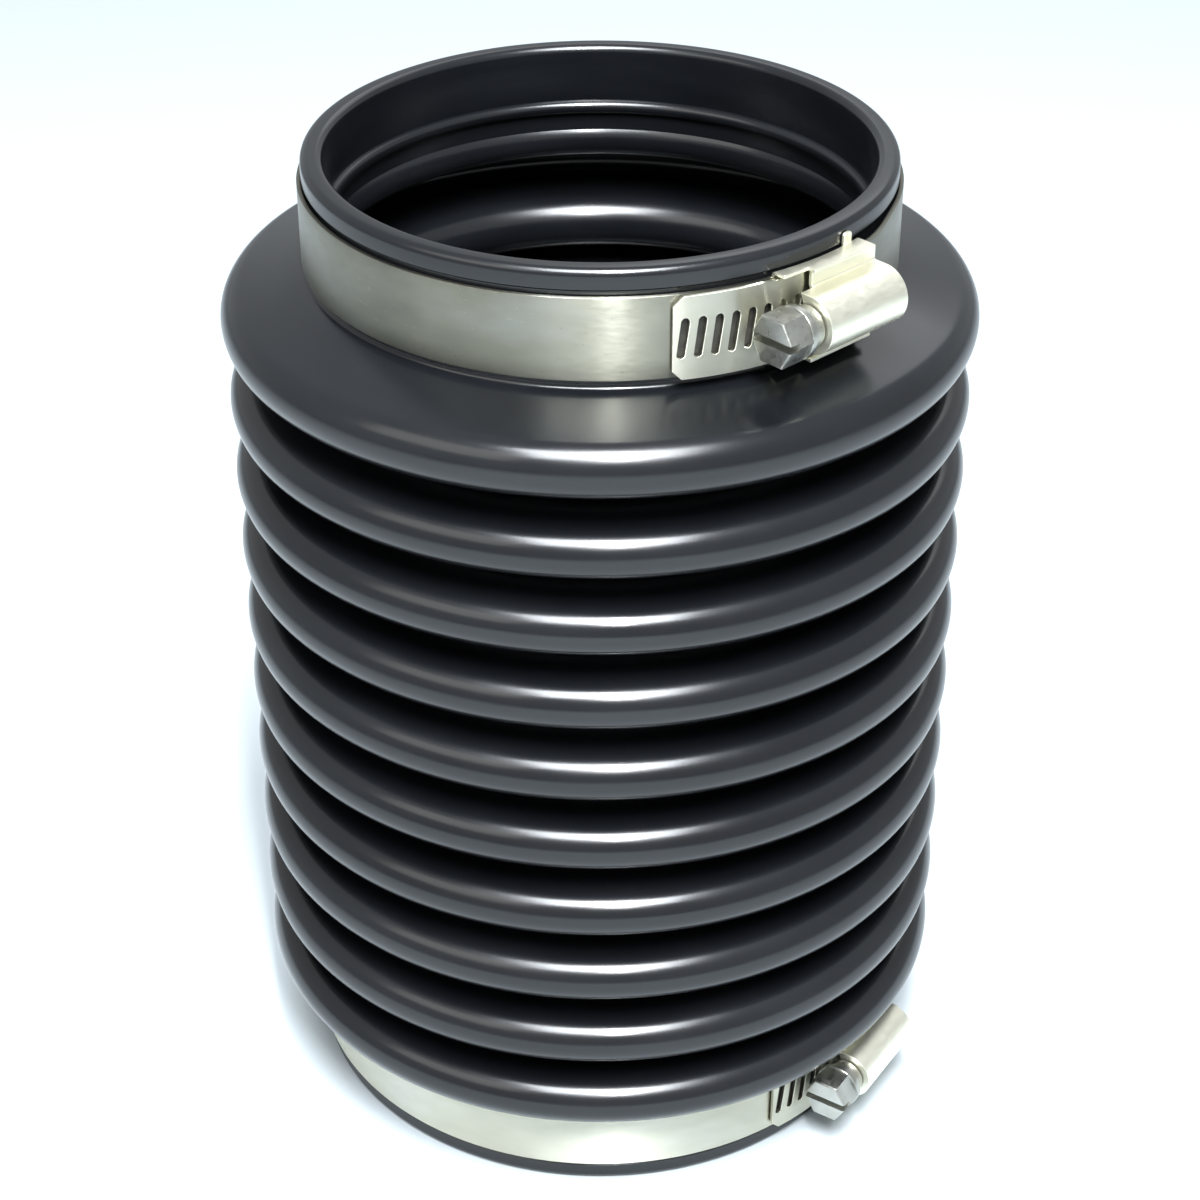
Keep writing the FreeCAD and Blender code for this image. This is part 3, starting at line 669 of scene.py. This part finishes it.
def screw_head(face):
    """Hexagon with a chamfered face and a driver slot across it."""
    mesh = bmesh.new()
    bmesh.ops.create_circle(
        mesh, cap_ends=True, segments=6, radius=HEAD_ACROSS_FLATS / math.sqrt(3))
    flat_outward = Matrix.Rotation(math.radians(30), 3, "Z")
    bmesh.ops.rotate(mesh, verts=mesh.verts, cent=(0, 0, 0), matrix=flat_outward)
    made = bmesh.ops.extrude_face_region(mesh, geom=mesh.faces[:])
    verts = [v for v in made["geom"] if isinstance(v, bmesh.types.BMVert)]
    bmesh.ops.translate(mesh, verts=verts, vec=(0, 0, HEAD_LENGTH))
    near_edges = [e for e in mesh.edges if all(v.co.z < HEAD_LENGTH / 2 for v in e.verts)]
    bmesh.ops.bevel(
        mesh, geom=near_edges, offset=HEAD_CHAMFER, segments=3, profile=0.5, affect="EDGES",
        material=-1)
    half = DRIVER_SLOT_WIDTH / 2
    cuts = [
        ((0, half, 0), (0, 1, 0)),
        ((0, -half, 0), (0, 1, 0)),
        ((0, 0, DRIVER_SLOT_DEPTH), (0, 0, 1)),
    ]
    for place, normal in cuts:
        bmesh.ops.bisect_plane(
            mesh, geom=mesh.verts[:] + mesh.edges[:] + mesh.faces[:], plane_co=place, plane_no=normal)
    notch = [f for f in mesh.faces
             if abs(f.calc_center_median().y) < half and f.calc_center_median().z < DRIVER_SLOT_DEPTH]
    bmesh.ops.delete(mesh, geom=notch, context="FACES")
    floor_verts = [v for v in mesh.verts if v.is_boundary and abs(v.co.z - DRIVER_SLOT_DEPTH) < 1e-6]
    bmesh.ops.contextual_create(mesh, geom=floor_verts)
    bmesh.ops.holes_fill(mesh, edges=[e for e in mesh.edges if e.is_boundary], sides=0)
    bmesh.ops.recalc_face_normals(mesh, faces=mesh.faces)
    bmesh.ops.translate(mesh, verts=mesh.verts, vec=(0, 0, face))
    return mesh


def worm_thread():
    """Right-hand thread, centred on its own middle, its foot sunk into the core and both ends capped
    flat.
    """
    slope = (THREAD_ROOT_WIDTH - THREAD_CREST_WIDTH) / 2 / THREAD_HEIGHT
    low_half = THREAD_ROOT_WIDTH / 2 + slope * THREAD_BURIED
    low = THREAD_ROOT_RADIUS - THREAD_BURIED
    outline = Outline(low, -low_half)
    outline.line(THREAD_RADIUS, -THREAD_CREST_WIDTH / 2)
    outline.line(THREAD_RADIUS, THREAD_CREST_WIDTH / 2)
    outline.line(low, low_half)
    mesh = outline.mesh
    mesh.edges.new((outline.tip, outline.first))
    turns = THREAD_LENGTH / SLOT_PITCH
    steps = round(turns * 40)
    bmesh.ops.translate(mesh, verts=mesh.verts, vec=(0, 0, -THREAD_LENGTH / 2))
    bmesh.ops.rotate(
        mesh, verts=mesh.verts, cent=(0, 0, 0), matrix=Matrix.Rotation(-math.pi * turns, 3, "Z"))
    bmesh.ops.spin(
        mesh, geom=mesh.verts[:] + mesh.edges[:], cent=(0, 0, 0), axis=(0, 0, 1),
        dvec=(0, 0, THREAD_LENGTH / steps), angle=2 * math.pi * turns, steps=steps)
    bmesh.ops.holes_fill(mesh, edges=[e for e in mesh.edges if e.is_boundary], sides=0)
    bmesh.ops.recalc_face_normals(mesh, faces=mesh.faces)
    return mesh


def shank(washer_start, shoulder_start, shoulder_end):
    """Washer face, shoulder, neck, worm core and pointed tip, turned about Z."""
    core_start = HOUSING_START + HOUSING_SHEET + LAYER_CLEARANCE
    core_end = HOUSING_END - SCREW_TIP_LENGTH
    outline = Outline(0, washer_start)
    outline.arc(WASHER_RADIUS - WASHER_EDGE, washer_start + WASHER_EDGE, WASHER_EDGE, -90, 0, 3)
    outline.arc(WASHER_RADIUS - WASHER_EDGE, shoulder_start - WASHER_EDGE, WASHER_EDGE, 0, 90, 3)
    outline.line(SHOULDER_RADIUS, shoulder_start)
    outline.line(SHOULDER_RADIUS, shoulder_end)
    outline.line(SCREW_NECK_RADIUS, shoulder_end)
    outline.line(SCREW_NECK_RADIUS, core_start)
    outline.line(THREAD_ROOT_RADIUS, core_start)
    outline.line(THREAD_ROOT_RADIUS, core_end)
    outline.line(THREAD_ROOT_RADIUS - SCREW_TIP_LENGTH, HOUSING_END)
    outline.line(0, HOUSING_END)
    mesh = outline.mesh
    bmesh.ops.spin(
        mesh, geom=mesh.verts[:] + mesh.edges[:], cent=(0, 0, 0), axis=(0, 0, 1),
        angle=2 * math.pi, steps=64, use_merge=True)
    bmesh.ops.remove_doubles(mesh, verts=mesh.verts, dist=1e-7)
    bmesh.ops.recalc_face_normals(mesh, faces=mesh.faces)
    return mesh


def added(target, other):
    """Puts one mesh into another."""
    data = bpy.data.meshes.new("joined")
    other.to_mesh(data)
    other.free()
    target.from_mesh(data)
    bpy.data.meshes.remove(data)


def screw(clamp):
    """Hexagon-headed worm screw."""
    shoulder_end = HOUSING_START - SHOULDER_GAP
    shoulder_start = shoulder_end - SHOULDER_LENGTH
    washer_start = shoulder_start - WASHER_THICKNESS
    mesh = shank(washer_start, shoulder_start, shoulder_end)
    added(mesh, worm_thread())
    added(mesh, screw_head(washer_start - HEAD_LENGTH))
    along = Matrix.Rotation(-math.pi / 2, 3, "X")
    bmesh.ops.rotate(mesh, verts=mesh.verts, cent=(0, 0, 0), matrix=along)
    bmesh.ops.translate(mesh, verts=mesh.verts, vec=(clamp.screw_axis, 0, 0))
    clamp.finish("worm_screw", mesh, "screw", "clamp_screw", SCREW_STEEL)


# The upper band loop gets the darker copy of the band steel, painted shade.
for clamp in (
        Clamp("lower", LOWER_NECK_RADIUS, LOWER_SLOT_COUNT, 0.0, BRIGHT_BAND),
        Clamp("upper", UPPER_NECK_RADIUS, UPPER_SLOT_COUNT, UPPER_TAB_HEIGHT, SHADED_BAND)):
    band_loop(clamp)
    band_tail(clamp)
    saddle(clamp)
    housing(clamp)
    screw(clamp)

# ---- floor, light and camera ----
FLOOR_SIZE = 8.0
mesh = bmesh.new()
bmesh.ops.create_grid(mesh, x_segments=1, y_segments=1, size=FLOOR_SIZE / 2)
floor_data = bpy.data.meshes.new("floor")
mesh.to_mesh(floor_data)
mesh.free()
floor = bpy.data.objects.new("floor", floor_data)
bpy.context.scene.collection.objects.link(floor)
floor_material, nodes, links, shader = new_material("pale_floor")
shader.inputs["Base Color"].default_value = (0.42, 0.455, 0.475, 1)
shader.inputs["Roughness"].default_value = 0.9
shader.inputs["Specular IOR Level"].default_value = 0.0
floor_data.materials.append(floor_material)


def soft_light(name, azimuth, elevation, distance, width, height, watts, colour):
    """A rectangular soft light aimed at the coupling's middle."""
    data = bpy.data.lights.new(name, "AREA")
    data.shape = "RECTANGLE"
    data.size = width
    data.size_y = height
    data.energy = watts
    data.color = colour
    light = bpy.data.objects.new(name, data)
    a = math.radians(azimuth)
    e = math.radians(elevation)
    back = Vector((math.sin(a) * math.cos(e), -math.cos(a) * math.cos(e), math.sin(e)))
    light.location = Vector((0, 0, HEIGHT / 2)) + back * distance
    light.rotation_euler = (-back).to_track_quat("-Z", "Y").to_euler()
    bpy.context.scene.collection.objects.link(light)


soft_light("key", 3, 63, 1.1, 0.62, 0.54, 33, (0.90, 0.95, 1.0))
soft_light("strip", 6.5, 58, 1.0, 0.025, 0.55, 16, (0.95, 0.98, 1.0))
soft_light("fill", -50, 42, 1.1, 0.8, 0.5, 2.4, (1.0, 1.0, 0.95))
soft_light("rear", 160, 42, 1.3, 0.8, 0.6, 2, (0.96, 0.98, 1.0))

world = bpy.data.worlds.new("studio")
world.use_nodes = True
world.node_tree.nodes["Background"].inputs["Color"].default_value = (0.93, 0.97, 1.0, 1)
world.node_tree.nodes["Background"].inputs["Strength"].default_value = 0.62
bpy.context.scene.world = world

LOOK_AT = Vector((0, 0, HEIGHT - 81.05 * MM))
CAMERA_DISTANCE = 0.432
CAMERA_ELEVATION = math.radians(32.18)
camera_data = bpy.data.cameras.new("camera")
camera_data.lens = 77.73
camera_data.sensor_width = 36
camera_data.clip_start = 0.01
camera = bpy.data.objects.new("camera", camera_data)
back = Vector((0, -math.cos(CAMERA_ELEVATION), math.sin(CAMERA_ELEVATION)))
camera.location = LOOK_AT + back * CAMERA_DISTANCE
camera.rotation_euler = (-back).to_track_quat("-Z", "Y").to_euler()
bpy.context.scene.collection.objects.link(camera)
bpy.context.scene.camera = camera
bpy.context.scene.view_settings.view_transform = "Standard"
